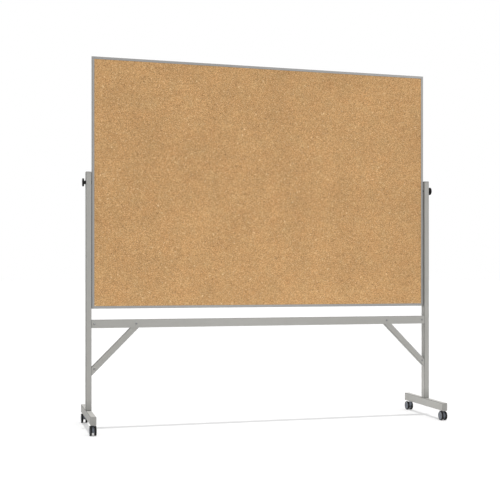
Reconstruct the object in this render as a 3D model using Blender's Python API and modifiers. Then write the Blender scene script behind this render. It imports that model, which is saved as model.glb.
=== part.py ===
"""A reversible cork board on a rolling stand, in metres, +Z up, with its front towards -Y.

The origin is on the floor, under the middle of the board. Left and right are as seen from the front.
"""

import math

import bmesh
import bpy
from mathutils import Matrix, Vector

# Fits shared by all pieces
SEAT_GAP = 0.0003
CUT_OVERRUN = 0.004
MERGE_DISTANCE = 0.00001

# Panel: a board of two cork sheets on a core, in a mitred channel frame
PANEL_WIDTH = 1.797
PANEL_HEIGHT = 1.253
PANEL_DEPTH = 0.016
PANEL_BOTTOM = 0.597
FRAME_FACE = 0.0125
FRAME_WALL = 0.0013
FRAME_EDGE_RADIUS = 0.0018
BOARD_OVERLAP = 0.008
CORK_THICKNESS = 0.0025
CORK_SWELL = 0.0003

# Posts
PANEL_SIDE_GAP = 0.0025
POST_WIDTH = 0.027
POST_DEPTH = 0.038
POST_TOP = 1.268
TUBE_WALL = 0.0015
TUBE_CORNER_RADIUS = 0.002
WELD_DEPTH = 0.00075
TAB_THICKNESS = 0.003
CROSSBAR_TAB_LENGTH = 0.026
CROSSBAR_TAB_HEIGHT = 0.028
BRACE_TAB_RUN = 0.022
BRACE_TAB_WIDTH = 0.020

# Plastic caps of the posts and feet
POST_CAP_HEIGHT = 0.008
POST_CAP_ROUNDING = 0.0018
FOOT_CAP_THICKNESS = 0.003
FOOT_CAP_ROUNDING = 0.001
FOOT_CAP_OVERHANG = 0.0005
CAP_PLUG_LENGTH = 0.015

# Crossbar, a channel that is open downwards
CROSSBAR_TOP = 0.542
CROSSBAR_HEIGHT = 0.0413
CROSSBAR_DEPTH = 0.030

# Braces, tubes whose upper ends stand inside the crossbar
BRACE_WIDTH = 0.030
BRACE_DEPTH = 0.025
BRACE_LEAN = math.radians(45)
BRACE_FOOT_HEIGHT = 0.286
BRACE_TOP_GAP = 0.003

# Feet
FOOT_LENGTH = 0.462
FOOT_HEIGHT = 0.040
FOOT_BOTTOM = 0.052

# Button-head bolts of the stand
BOLT_HEAD_RADIUS = 0.0055
BOLT_HEAD_HEIGHT = 0.003
BOLT_SHANK_RADIUS = 0.0029
BOLT_SHANK_LENGTH = 0.010
CROSSBAR_BOLT_INSET = 0.0145
BRACE_LOW_BOLT_INSET = 0.0135
BRACE_TOP_BOLT_SHIFT = 0.012

# Pivot: a T-headed stud held in the side channel, a spacer and a hand knob
STUD_RADIUS = 0.004
STUD_PLATE_LENGTH = 0.040
STUD_PLATE_WIDTH = 0.012
STUD_END_IN_KNOB = 0.010
PIVOT_PLAY = 0.0005
SPACER_RADIUS = 0.0085
KNOB_NECK_RADIUS = 0.009
KNOB_NECK_LENGTH = 0.0083
KNOB_RADIUS = 0.0203
KNOB_DISC_THICKNESS = 0.0077
KNOB_EDGE_ROUNDING = 0.0012
KNOB_CROWN = 0.0006
KNOB_BORE_DEPTH = 0.011

# Casters: a swivelling hood on a stem, with a wheel on each side of it
CASTER_END_DISTANCE = 0.040
CASTER_TRAIL = 0.0165
WHEEL_RADIUS = 0.0236
WHEEL_PLAY = 0.0005
TYRE_WIDTH = 0.0095
TYRE_THICKNESS = 0.004
TYRE_SHOULDER_RADIUS = 0.0016
HUB_CAP_RADIUS = 0.0065
HUB_CAP_RISE = 0.0015
HUB_DISH_DEPTH = 0.0006
HUB_RIM_WIDTH = 0.0032
HUB_RIM_RISE = 0.0008
HUB_SLOPE_WIDTH = 0.0012
AXLE_RADIUS = 0.0025
AXLE_END_GAP = 0.001
HUB_FACE_THICKNESS = 0.002
STEM_RADIUS = 0.004
STEM_RISE_IN_FOOT = 0.018
STEM_DEPTH_IN_HOOD = 0.020
STEM_FLANGE_RADIUS = 0.009
STEM_FLANGE_HEIGHT = 0.004
HOOD_WIDTH = 0.0115
HOOD_RADIUS = 0.0195
HOOD_SHOULDER = 0.008
HOOD_BACK = 0.0065
HOOD_BACK_DROP = 0.0205
HOOD_CHIN_OFFSET = 0.013
HOOD_CHIN_DROP = 0.005
HOOD_EDGE_ROUNDING = 0.0007
HOOD_COLLAR_RADIUS = 0.008
HOOD_COLLAR_HEIGHT = 0.0018
HOOD_ARC_LOW = math.radians(205)
HOOD_ARC_HIGH = math.radians(72)

# Facets
CORNER_STEPS = 3
WHEEL_STEPS = 24
KNOB_STEPS = 28
SMALL_TURNED_STEPS = 12
HOLE_STEPS = 16
CROWN_STEPS = 2
SMOOTH_ANGLE = math.radians(35)
FLAT_ANGLE = math.radians(0.1)

# Places that follow from the sizes above
QUARTER_TURN = math.radians(90)
PIVOT_HEIGHT = PANEL_BOTTOM + PANEL_HEIGHT / 2
POST_INNER = PANEL_WIDTH / 2 + PANEL_SIDE_GAP
POST_CENTRE = POST_INNER + POST_WIDTH / 2
POST_OUTER = POST_INNER + POST_WIDTH
POST_BOTTOM = FOOT_BOTTOM + FOOT_HEIGHT + SEAT_GAP
STAND_FRONT = -POST_DEPTH / 2
CROSSBAR_MIDDLE = CROSSBAR_TOP - CROSSBAR_HEIGHT / 2
CROSSBAR_CENTRE_Y = STAND_FRONT + CROSSBAR_DEPTH / 2
BEHIND_CROSSBAR_FRONT = STAND_FRONT + TUBE_WALL + SEAT_GAP
BRACE_CENTRE_Y = BEHIND_CROSSBAR_FRONT + BRACE_DEPTH / 2
BEHIND_BRACE_FRONT = BEHIND_CROSSBAR_FRONT + TUBE_WALL + SEAT_GAP
SIDES = {"left": -1, "right": 1}
ENDS = {"front": -1, "rear": 1}

# Finishes: colour, roughness, metallic
SATIN_SILVER = ((0.36, 0.36, 0.34), 0.45, 0.6)
ALUMINIUM = ((0.42, 0.43, 0.43), 0.38, 0.9)
CORK = ((0.55, 0.35, 0.17), 0.95, 0.0)
FIBREBOARD = ((0.32, 0.22, 0.13), 0.9, 0.0)
GREY_PLASTIC = ((0.27, 0.27, 0.26), 0.55, 0.0)
BLACK_PLASTIC = ((0.02, 0.02, 0.02), 0.4, 0.0)
BLUE_GREY_PLASTIC = ((0.13, 0.14, 0.17), 0.45, 0.0)
TYRE_BLACK = ((0.015, 0.015, 0.015), 0.7, 0.0)
STEEL = ((0.45, 0.45, 0.44), 0.35, 1.0)


def clear_scene():
    for item in list(bpy.data.objects):
        bpy.data.objects.remove(item, do_unlink=True)


def new_collection(name):
    collection = bpy.data.collections.new(name)
    bpy.context.scene.collection.children.link(collection)
    return collection


clear_scene()
BOARD = new_collection("cork_board")
CUTTERS = new_collection("cork_board_cutters")


def paint(piece, finish):
    """Gives a piece its own material."""
    colour, roughness, metallic = finish
    material = bpy.data.materials.new(piece.name)
    material.use_nodes = True
    shader = material.node_tree.nodes["Principled BSDF"]
    shader.inputs["Base Color"].default_value = (*colour, 1)
    shader.inputs["Roughness"].default_value = roughness
    shader.inputs["Metallic"].default_value = metallic
    piece.data.materials.append(material)


def world_place(item):
    """The place of an item whose parents are only moved, not turned."""
    place = Vector(item.location)
    while item.parent:
        item = item.parent
        place += item.location
    return place


def put(item, place, turn=(0, 0, 0), parent=None):
    """Puts an item at a world place, under a parent that is only moved."""
    item.location = place
    item.rotation_euler = turn
    if parent:
        item.parent = parent
        item.location = Vector(place) - world_place(parent)
    return item


def pivot(name, place, parent=None):
    """An empty on a joint's axis, which carries what turns there."""
    empty = bpy.data.objects.new(name, None)
    BOARD.objects.link(empty)
    return put(empty, place, parent=parent)


def finished(name, mesh, finish):
    """A piece of the board made from a mesh, smooth where its faces meet at a small angle."""
    piece = bpy.data.objects.new(name, mesh)
    BOARD.objects.link(piece)
    mesh.shade_smooth()
    mesh.set_sharp_from_angle(angle=SMOOTH_ANGLE)
    paint(piece, finish)
    return piece


def helper(name, mesh):
    """A hidden solid that cuts or joins."""
    item = bpy.data.objects.new(name, mesh)
    CUTTERS.objects.link(item)
    item.hide_render = True
    item.display_type = "WIRE"
    return item


def combine(piece, tool, operation):
    modifier = piece.modifiers.new(tool.name, "BOOLEAN")
    modifier.operation = operation
    modifier.solver = "EXACT"
    modifier.object = tool


def evaluated_mesh(item):
    """The mesh that an item's curve or modifiers make, with its caps welded on."""
    shown = item.evaluated_get(bpy.context.evaluated_depsgraph_get())
    mesh = bpy.data.meshes.new_from_object(shown)
    work = bmesh.new()
    work.from_mesh(mesh)
    bmesh.ops.remove_doubles(work, verts=work.verts, dist=MERGE_DISTANCE)
    bmesh.ops.recalc_face_normals(work, faces=work.faces)
    work.to_mesh(mesh)
    work.free()
    bpy.data.objects.remove(item, do_unlink=True)
    return mesh


def box_mesh(size_x, size_y, size_z):
    mesh = bpy.data.meshes.new("box")
    work = bmesh.new()
    bmesh.ops.create_cube(work, size=1)
    bmesh.ops.scale(work, vec=(size_x, size_y, size_z), verts=work.verts)
    work.to_mesh(mesh)
    work.free()
    return mesh


def rod_mesh(radius, length):
    """A round rod along Z, centred."""
    mesh = bpy.data.meshes.new("rod")
    work = bmesh.new()
    bmesh.ops.create_cone(
        work, cap_ends=True, segments=HOLE_STEPS, radius1=radius, radius2=radius, depth=length
    )
    work.to_mesh(mesh)
    work.free()
    return mesh


def arc(centre, radius, start, end, steps):
    """Points of an arc, both ends included."""
    points = []
    for step in range(steps + 1):
        angle = start + (end - start) * step / steps
        points.append((centre[0] + radius * math.cos(angle), centre[1] + radius * math.sin(angle)))
    return points


def rounded_rectangle(width, height, radius):
    """A rectangle about the origin with round corners."""
    right = width / 2 - radius
    top = height / 2 - radius
    points = []
    for quarter, corner in enumerate([(right, top), (-right, top), (-right, -top), (right, -top)]):
        start = QUARTER_TURN * quarter
        points += arc(corner, radius, start, start + QUARTER_TURN, CORNER_STEPS)
    return points


def extruded_curve(points, length, closed, fill_mode):
    """A flat outline extruded along Z, centred, still as a curve."""
    curve = bpy.data.curves.new("outline", "CURVE")
    curve.dimensions = "2D"
    curve.fill_mode = fill_mode
    curve.extrude = length / 2
    spline = curve.splines.new("POLY")
    spline.points.add(len(points) - 1)
    for point, (x, y) in zip(spline.points, points):
        point.co = (x, y, 0, 1)
    spline.use_cyclic_u = closed
    guide = bpy.data.objects.new("outline", curve)
    CUTTERS.objects.link(guide)
    return guide


def extruded_mesh(points, length):
    """A solid with a flat outline, each of its two ends one face."""
    mesh = evaluated_mesh(extruded_curve(points, length, True, "BOTH"))
    work = bmesh.new()
    work.from_mesh(mesh)
    bmesh.ops.dissolve_limit(work, angle_limit=FLAT_ANGLE, verts=work.verts, edges=work.edges)
    work.to_mesh(mesh)
    work.free()
    return mesh


def folded_mesh(points, length, wall, closed):
    """A tube or channel of one wall thickness, whose outer side follows the points."""
    surface = helper("surface", evaluated_mesh(extruded_curve(points, length, closed, "NONE")))
    shell = surface.modifiers.new("wall", "SOLIDIFY")
    shell.thickness = wall
    shell.offset = -1
    shell.use_even_offset = True
    return evaluated_mesh(surface)


def tube_mesh(width, height, length):
    """The stand's rounded rectangular tube."""
    return folded_mesh(rounded_rectangle(width, height, TUBE_CORNER_RADIUS), length, TUBE_WALL, True)


def slant_ends(mesh, low_slope, high_slope):
    """Slants the ends of an extrusion, so that they follow its X by the given slopes."""
    for vertex in mesh.vertices:
        slope = low_slope if vertex.co.z < 0 else high_slope
        vertex.co.z += slope * vertex.co.x
    mesh.update()


def turned_mesh(profile, steps, closed=False):
    """A profile of (radius, height), down its outer side, turned about Z."""
    mesh = bpy.data.meshes.new("profile")
    points = [(radius, 0, height) for radius, height in profile]
    edges = [(index, index + 1) for index in range(len(points) - 1)]
    if closed:
        edges.append((len(points) - 1, 0))
    mesh.from_pydata(points, edges, [])
    guide = bpy.data.objects.new("profile", mesh)
    CUTTERS.objects.link(guide)
    screw = guide.modifiers.new("turn", "SCREW")
    screw.axis = "Z"
    screw.steps = steps
    screw.render_steps = steps
    screw.use_merge_vertices = True
    screw.merge_threshold = MERGE_DISTANCE
    return evaluated_mesh(guide)


def crown(radius, base, rise):
    """Points of a low crown, from its top on the axis out to its rim."""
    points = []
    for step in range(CROWN_STEPS + 1):
        share = step / CROWN_STEPS
        points.append((radius * share, base + rise * (1 - share * share)))
    return points


# Panel


def board_sheets(panel_pivot):
    """The core and the cork sheet on each face of it, all inside the channels."""
    margin = 2 * (FRAME_FACE - BOARD_OVERLAP)
    width = PANEL_WIDTH - margin
    height = PANEL_HEIGHT - margin
    room = PANEL_DEPTH - 2 * FRAME_WALL
    core_thickness = room - 2 * CORK_THICKNESS - 4 * SEAT_GAP
    cork_offset = core_thickness / 2 + SEAT_GAP + CORK_THICKNESS / 2
    core = finished("core_board", box_mesh(width, core_thickness, height), FIBREBOARD)
    put(core, (0, 0, PIVOT_HEIGHT), parent=panel_pivot)
    for name, offset, turn in (
        ("cork_front", -cork_offset, 0),
        ("cork_back", cork_offset, 2 * QUARTER_TURN),
    ):
        sheet = finished(name, cork_mesh(width, height), CORK)
        put(sheet, (0, offset, PIVOT_HEIGHT), (0, 0, turn), panel_pivot)


def cork_mesh(width, height):
    """A sheet with its face towards -Y, which swells out between the lips that squeeze its edges."""
    mesh = bpy.data.meshes.new("cork_sheet")
    work = bmesh.new()
    bmesh.ops.create_cube(work, size=1)
    bmesh.ops.scale(work, vec=(width, CORK_THICKNESS, height), verts=work.verts)
    work.normal_update()
    face = min(work.faces, key=lambda side: side.normal.y)
    bmesh.ops.inset_region(
        work, faces=[face], thickness=BOARD_OVERLAP + SEAT_GAP, use_even_offset=True
    )
    raised = bmesh.ops.extrude_discrete_faces(work, faces=[face])["faces"][0]
    bmesh.ops.translate(work, vec=(0, -CORK_SWELL, 0), verts=raised.verts)
    work.to_mesh(mesh)
    work.free()
    return mesh


def channel_path():
    """The outer side of the frame's section; X runs inwards from the panel's edge, Y through the panel."""
    half = PANEL_DEPTH / 2
    corner = FRAME_EDGE_RADIUS
    low_corner = arc((corner, corner - half), corner, 3 * QUARTER_TURN, 2 * QUARTER_TURN, CORNER_STEPS)
    high_corner = arc((corner, half - corner), corner, 2 * QUARTER_TURN, QUARTER_TURN, CORNER_STEPS)
    return [(FRAME_FACE, -half)] + low_corner + high_corner + [(FRAME_FACE, half)]


def frame_bar(name, length, place, lean, panel_pivot):
    """One channel with mitred ends, which keep a seat's gap from the next channel."""
    mitre_setback = SEAT_GAP / math.sqrt(2)
    mesh = folded_mesh(channel_path(), length - 2 * mitre_setback, FRAME_WALL, False)
    slant_ends(mesh, 1, -1)
    bar = finished(name, mesh, ALUMINIUM)
    return put(bar, place, (0, lean, 0), panel_pivot)


def panel_frame(panel_pivot):
    edge = PANEL_WIDTH / 2
    top = PANEL_BOTTOM + PANEL_HEIGHT
    frame_bar("frame_top", PANEL_WIDTH, (0, 0, top), QUARTER_TURN, panel_pivot)
    frame_bar("frame_bottom", PANEL_WIDTH, (0, 0, PANEL_BOTTOM), -QUARTER_TURN, panel_pivot)
    left = frame_bar("frame_left", PANEL_HEIGHT, (-edge, 0, PIVOT_HEIGHT), 0, panel_pivot)
    right = frame_bar("frame_right", PANEL_HEIGHT, (edge, 0, PIVOT_HEIGHT), 2 * QUARTER_TURN, panel_pivot)
    drill(left, "frame_left_hole", STUD_RADIUS + SEAT_GAP, (-edge, 0, PIVOT_HEIGHT), "X", panel_pivot)
    drill(right, "frame_right_hole", STUD_RADIUS + SEAT_GAP, (edge, 0, PIVOT_HEIGHT), "X", panel_pivot)


def drill(piece, name, radius, place, axis, parent=None, length=2 * CUT_OVERRUN):
    """Cuts a round hole about a place, along an axis."""
    turn = {"X": (0, QUARTER_TURN, 0), "Y": (QUARTER_TURN, 0, 0), "Z": (0, 0, 0)}[axis]
    cutter = helper(name, rod_mesh(radius, length))
    put(cutter, place, turn, parent)
    combine(piece, cutter, "DIFFERENCE")
    return cutter


def pivot_stud(side_name, side, panel_pivot):
    """A stud whose flat head lies in the side channel, between its wall and the board's edge."""
    room = FRAME_FACE - BOARD_OVERLAP - FRAME_WALL
    plate_thickness = room - 2 * SEAT_GAP
    plate_middle = PANEL_WIDTH / 2 - FRAME_WALL - SEAT_GAP - plate_thickness / 2
    stud_end = POST_OUTER + SEAT_GAP + STUD_END_IN_KNOB
    shaft_length = stud_end - plate_middle
    plate = box_mesh(plate_thickness, STUD_PLATE_WIDTH, STUD_PLATE_LENGTH)
    stud = finished(side_name + "_pivot_stud", plate, STEEL)
    put(stud, (side * plate_middle, 0, PIVOT_HEIGHT), parent=panel_pivot)
    shaft = helper(side_name + "_stud_shaft", rod_mesh(STUD_RADIUS, shaft_length))
    shaft_middle = plate_middle + shaft_length / 2
    put(shaft, (side * shaft_middle, 0, PIVOT_HEIGHT), (0, QUARTER_TURN, 0), panel_pivot)
    combine(stud, shaft, "UNION")


def spacer(side_name, side, panel_pivot):
    """The ring that keeps the panel off the post."""
    half = PANEL_SIDE_GAP / 2 - SEAT_GAP
    bore = STUD_RADIUS + SEAT_GAP
    profile = [(bore, half), (SPACER_RADIUS, half), (SPACER_RADIUS, -half), (bore, -half)]
    mesh = turned_mesh(profile, SMALL_TURNED_STEPS, closed=True)
    ring = finished(side_name + "_spacer", mesh, BLACK_PLASTIC)
    middle = PANEL_WIDTH / 2 + PANEL_SIDE_GAP / 2
    put(ring, (side * middle, 0, PIVOT_HEIGHT), (0, side * QUARTER_TURN, 0), panel_pivot)


def knob(side_name, side, panel_pivot):
    """A round hand knob with a neck, bored for the stud."""
    disc_low = KNOB_NECK_LENGTH
    disc_high = KNOB_NECK_LENGTH + KNOB_DISC_THICKNESS
    edge = KNOB_RADIUS - KNOB_EDGE_ROUNDING
    bore = STUD_RADIUS + SEAT_GAP
    rounding = KNOB_EDGE_ROUNDING
    high_edge = arc((edge, disc_high - rounding), rounding, QUARTER_TURN, 0, CORNER_STEPS)
    low_edge = arc((edge, disc_low + rounding), rounding, 0, -QUARTER_TURN, CORNER_STEPS)
    profile = crown(edge, disc_high, KNOB_CROWN)[:-1]
    profile += high_edge + low_edge
    profile += [(KNOB_NECK_RADIUS, disc_low), (KNOB_NECK_RADIUS, 0)]
    profile += [(bore, 0), (bore, KNOB_BORE_DEPTH), (0, KNOB_BORE_DEPTH)]
    piece = finished(side_name + "_knob", turned_mesh(profile, KNOB_STEPS), BLACK_PLASTIC)
    face = POST_OUTER + SEAT_GAP
    put(piece, (side * face, 0, PIVOT_HEIGHT), (0, side * QUARTER_TURN, 0), panel_pivot)


def panel():
    panel_pivot = pivot("panel_pivot", (0, 0, PIVOT_HEIGHT))
    board_sheets(panel_pivot)
    panel_frame(panel_pivot)
    for side_name, side in SIDES.items():
        pivot_stud(side_name, side, panel_pivot)
        spacer(side_name, side, panel_pivot)
        knob(side_name, side, panel_pivot)


# Stand


def post(side_name, side):
    """A post with the holes for the pivot and the tabs for the crossbar and the brace."""
    length = POST_TOP - POST_BOTTOM
    middle = POST_BOTTOM + length / 2
    piece = finished(side_name + "_post", tube_mesh(POST_WIDTH, POST_DEPTH, length), SATIN_SILVER)
    put(piece, (side * POST_CENTRE, 0, middle))
    combine(piece, crossbar_tab(side_name, side), "UNION")
    combine(piece, brace_tab(side_name, side), "UNION")
    through = POST_WIDTH + 2 * CUT_OVERRUN
    place = (side * POST_CENTRE, 0, PIVOT_HEIGHT)
    drill(piece, side_name + "_post_hole", STUD_RADIUS + PIVOT_PLAY, place, "X", length=through)
    return piece


def crossbar_tab(side_name, side):
    """A flat tab on the post, behind the crossbar's front wall."""
    length = CROSSBAR_TAB_LENGTH + WELD_DEPTH
    tab = helper(side_name + "_crossbar_tab", box_mesh(length, TAB_THICKNESS, CROSSBAR_TAB_HEIGHT))
    middle = POST_INNER + WELD_DEPTH - length / 2
    return put(tab, (side * middle, BEHIND_CROSSBAR_FRONT + TAB_THICKNESS / 2, CROSSBAR_MIDDLE))


def brace_tab(side_name, side):
    """A slanted tab on the post, behind the brace's front wall."""
    rise = 1 / math.tan(BRACE_LEAN)
    half = BRACE_TAB_WIDTH / 2 / math.sin(BRACE_LEAN)
    near = -WELD_DEPTH
    far = BRACE_TAB_RUN
    outline = []
    for run, edge in ((near, -half), (near, half), (far, half), (far, -half)):
        outline.append((-side * run, run * rise + edge))
    tab = helper(side_name + "_brace_tab", extruded_mesh(outline, TAB_THICKNESS))
    place = (side * POST_INNER, BEHIND_BRACE_FRONT + TAB_THICKNESS / 2, BRACE_FOOT_HEIGHT)
    return put(tab, place, (QUARTER_TURN, 0, 0))


def capped_plug(name, width, height, thickness, rounding, overhang=0):
    """A plug for a tube's end: a flange that may stand out past the tube, with a plug below it."""
    flange = rounded_rectangle(width + 2 * overhang, height + 2 * overhang, TUBE_CORNER_RADIUS)
    mesh = extruded_mesh(flange, thickness)
    work = bmesh.new()
    work.from_mesh(mesh)
    rim = []
    for edge in work.edges:
        above = all(vertex.co.z > 0 for vertex in edge.verts)
        if above and edge.calc_face_angle() > SMOOTH_ANGLE:
            rim.append(edge)
    bmesh.ops.bevel(
        work,
        geom=rim,
        offset=rounding,
        offset_type="OFFSET",
        segments=CORNER_STEPS,
        profile=0.5,
        affect="EDGES",
        material=-1,
    )
    work.to_mesh(mesh)
    work.free()
    piece = finished(name, mesh, GREY_PLASTIC)
    inner_radius = TUBE_CORNER_RADIUS - TUBE_WALL
    plug_width = width - 2 * TUBE_WALL - 2 * SEAT_GAP
    plug_height = height - 2 * TUBE_WALL - 2 * SEAT_GAP
    plug_length = CAP_PLUG_LENGTH + thickness / 2
    outline = rounded_rectangle(plug_width, plug_height, inner_radius)
    plug = helper(name + "_plug", extruded_mesh(outline, plug_length))
    plug.parent = piece
    plug.location = (0, 0, -plug_length / 2)
    combine(piece, plug, "UNION")
    return piece


def post_cap(side_name, side):
    name = side_name + "_post_cap"
    cap = capped_plug(name, POST_WIDTH, POST_DEPTH, POST_CAP_HEIGHT, POST_CAP_ROUNDING)
    put(cap, (side * POST_CENTRE, 0, POST_TOP + SEAT_GAP + POST_CAP_HEIGHT / 2))


def foot(side_name, side):
    """A foot tube with a hole for each stem, and its two end caps."""
    tube_length = FOOT_LENGTH - 2 * (FOOT_CAP_THICKNESS + SEAT_GAP)
    piece = finished(side_name + "_foot", tube_mesh(POST_WIDTH, FOOT_HEIGHT, tube_length), SATIN_SILVER)
    middle = FOOT_BOTTOM + FOOT_HEIGHT / 2
    put(piece, (side * POST_CENTRE, 0, middle), (QUARTER_TURN, 0, 0))
    for end_name, end in ENDS.items():
        name = side_name + "_" + end_name
        place = (side * POST_CENTRE, end * (FOOT_LENGTH / 2 - CASTER_END_DISTANCE), FOOT_BOTTOM)
        drill(piece, name + "_stem_hole", STEM_RADIUS + SEAT_GAP, place, "Z")
        cap_name = side_name + "_foot_" + end_name + "_cap"
        cap = capped_plug(
            cap_name, POST_WIDTH, FOOT_HEIGHT, FOOT_CAP_THICKNESS, FOOT_CAP_ROUNDING, FOOT_CAP_OVERHANG
        )
        cap_y = end * (FOOT_LENGTH - FOOT_CAP_THICKNESS) / 2
        put(cap, (side * POST_CENTRE, cap_y, middle), (-end * QUARTER_TURN, 0, 0))
    return piece


def crossbar():
    """A channel between the posts, flush with their fronts."""
    length = 2 * (POST_INNER - SEAT_GAP)
    half_depth = CROSSBAR_DEPTH / 2
    half_height = CROSSBAR_HEIGHT / 2
    corner = TUBE_CORNER_RADIUS
    far = half_depth - corner
    high = half_height - corner
    path = [(half_depth, -half_height)]
    path += arc((far, high), corner, 0, QUARTER_TURN, CORNER_STEPS)
    path += arc((-far, high), corner, QUARTER_TURN, 2 * QUARTER_TURN, CORNER_STEPS)
    path.append((-half_depth, -half_height))
    piece = finished("crossbar", folded_mesh(path, length, TUBE_WALL, False), SATIN_SILVER)
    return put(piece, (0, CROSSBAR_CENTRE_Y, CROSSBAR_MIDDLE), (QUARTER_TURN, 0, QUARTER_TURN))


def brace(side_name, side):
    """A tube cut upright at the post and level under the crossbar's top wall."""
    low = Vector((side * (POST_INNER - SEAT_GAP), BRACE_CENTRE_Y, BRACE_FOOT_HEIGHT))
    rise = CROSSBAR_TOP - TUBE_WALL - BRACE_TOP_GAP - BRACE_FOOT_HEIGHT
    high = low + Vector((-side * rise * math.tan(BRACE_LEAN), 0, rise))
    mesh = tube_mesh(BRACE_WIDTH, BRACE_DEPTH, (high - low).length)
    slant_ends(mesh, side / math.tan(BRACE_LEAN), -side * math.tan(BRACE_LEAN))
    piece = finished(side_name + "_brace", mesh, SATIN_SILVER)
    return put(piece, (low + high) / 2, (0, -side * BRACE_LEAN, 0))


def bolt_places(side):
    """The bolts' places on the front walls that their heads lie on."""
    brace_run = (CROSSBAR_MIDDLE - BRACE_FOOT_HEIGHT) * math.tan(BRACE_LEAN)
    end_x = side * (POST_INNER - CROSSBAR_BOLT_INSET)
    top_x = side * (POST_INNER - brace_run + BRACE_TOP_BOLT_SHIFT)
    low_x = side * (POST_INNER - BRACE_LOW_BOLT_INSET)
    low_z = BRACE_FOOT_HEIGHT + BRACE_LOW_BOLT_INSET / math.tan(BRACE_LEAN)
    return {
        "crossbar_bolt": (end_x, STAND_FRONT, CROSSBAR_MIDDLE),
        "brace_top_bolt": (top_x, STAND_FRONT, CROSSBAR_MIDDLE),
        "brace_low_bolt": (low_x, BEHIND_CROSSBAR_FRONT, low_z),
    }


def bolt(name, place):
    """A button-head bolt on a front wall."""
    x, seat_y, z = place
    profile = crown(BOLT_HEAD_RADIUS, BOLT_HEAD_HEIGHT / 2, BOLT_HEAD_HEIGHT / 2)
    profile += [(BOLT_HEAD_RADIUS, 0), (BOLT_SHANK_RADIUS, 0)]
    profile += [(BOLT_SHANK_RADIUS, -BOLT_SHANK_LENGTH), (0, -BOLT_SHANK_LENGTH)]
    piece = finished(name, turned_mesh(profile, SMALL_TURNED_STEPS), STEEL)
    put(piece, (x, seat_y - SEAT_GAP, z), (QUARTER_TURN, 0, 0))


def drill_bolt_holes(piece, places):
    """Cuts a piece's bolt holes, all at once, through its front wall and the tabs behind it."""
    holes = [rod_mesh(BOLT_SHANK_RADIUS + SEAT_GAP, 2 * BOLT_SHANK_LENGTH) for place in places]
    work = bmesh.new()
    for hole, place in zip(holes, places):
        hole.transform(Matrix.Translation(place) @ Matrix.Rotation(QUARTER_TURN, 4, "X"))
        work.from_mesh(hole)
    mesh = bpy.data.meshes.new("bolt_holes")
    work.to_mesh(mesh)
    work.free()
    combine(piece, helper(piece.name + "_bolt_holes", mesh), "DIFFERENCE")


def stand():
    bar = crossbar()
    bar_holes = []
    for side_name, side in SIDES.items():
        upright = post(side_name, side)
        strut = brace(side_name, side)
        post_cap(side_name, side)
        foot(side_name, side)
        places = bolt_places(side)
        for name, place in places.items():
            bolt(side_name + "_" + name, place)
        drill_bolt_holes(upright, [places["crossbar_bolt"], places["brace_low_bolt"]])
        drill_bolt_holes(strut, [places["brace_top_bolt"], places["brace_low_bolt"]])
        bar_holes += [places["crossbar_bolt"], places["brace_top_bolt"]]
    drill_bolt_holes(bar, bar_holes)


# Casters


def stem(name, x, y):
    """A stem with the flange that the hood turns under, about the height of the foot's lower side."""
    flange_top = -SEAT_GAP
    flange_low = flange_top - STEM_FLANGE_HEIGHT
    low = flange_low - STEM_DEPTH_IN_HOOD
    profile = [(0, STEM_RISE_IN_FOOT), (STEM_RADIUS, STEM_RISE_IN_FOOT), (STEM_RADIUS, flange_top)]
    profile += [(STEM_FLANGE_RADIUS, flange_top), (STEM_FLANGE_RADIUS, flange_low)]
    profile += [(STEM_RADIUS, flange_low), (STEM_RADIUS, low), (0, low)]
    piece = finished(name + "_stem", turned_mesh(profile, SMALL_TURNED_STEPS), STEEL)
    put(piece, (x, y, FOOT_BOTTOM))


def hood_outline(end):
    """The hood's side view about the axle: Y runs along the foot and the stem lies inboard."""
    top = FOOT_BOTTOM - STEM_FLANGE_HEIGHT - 2 * SEAT_GAP - WHEEL_RADIUS
    back = CASTER_TRAIL + HOOD_BACK
    outline = [(CASTER_TRAIL - HOOD_SHOULDER, top), (back, top), (back, top - HOOD_BACK_DROP)]
    outline.append((HOOD_CHIN_OFFSET, -HOOD_CHIN_DROP))
    outline += arc((0, 0), HOOD_RADIUS, HOOD_ARC_LOW, HOOD_ARC_HIGH, 2 * CORNER_STEPS)
    return [(-end * along, height) for along, height in outline]


def hood(name, x, y, end, swivel):
    """The moulded body between the wheels, with a collar and with bores for the stem and the axle."""
    piece = finished(name + "_hood", extruded_mesh(hood_outline(end), HOOD_WIDTH), BLUE_GREY_PLASTIC)
    axle_y = y + end * CASTER_TRAIL
    put(piece, (x, axle_y, WHEEL_RADIUS), (QUARTER_TURN, 0, QUARTER_TURN), swivel)
    rounding = piece.modifiers.new("rounding", "BEVEL")
    rounding.width = HOOD_EDGE_ROUNDING
    rounding.segments = 1
    rounding.limit_method = "ANGLE"
    rounding.angle_limit = SMOOTH_ANGLE
    bore_top = FOOT_BOTTOM - STEM_FLANGE_HEIGHT - SEAT_GAP
    collar_mesh = rod_mesh(HOOD_COLLAR_RADIUS, HOOD_COLLAR_HEIGHT)
    collar = helper(name + "_hood_collar", collar_mesh)
    put(collar, (x, y, bore_top - SEAT_GAP - HOOD_COLLAR_HEIGHT / 2), parent=swivel)
    combine(piece, collar, "UNION")
    bore_depth = STEM_DEPTH_IN_HOOD + SEAT_GAP
    bore_place = (x, y, bore_top)
    drill(piece, name + "_stem_bore", STEM_RADIUS + SEAT_GAP, bore_place, "Z", swivel, 2 * bore_depth)
    through = HOOD_WIDTH + 2 * CUT_OVERRUN
    axle_place = (x, axle_y, WHEEL_RADIUS)
    drill(piece, name + "_axle_bore", AXLE_RADIUS + SEAT_GAP, axle_place, "X", swivel, through)


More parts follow.
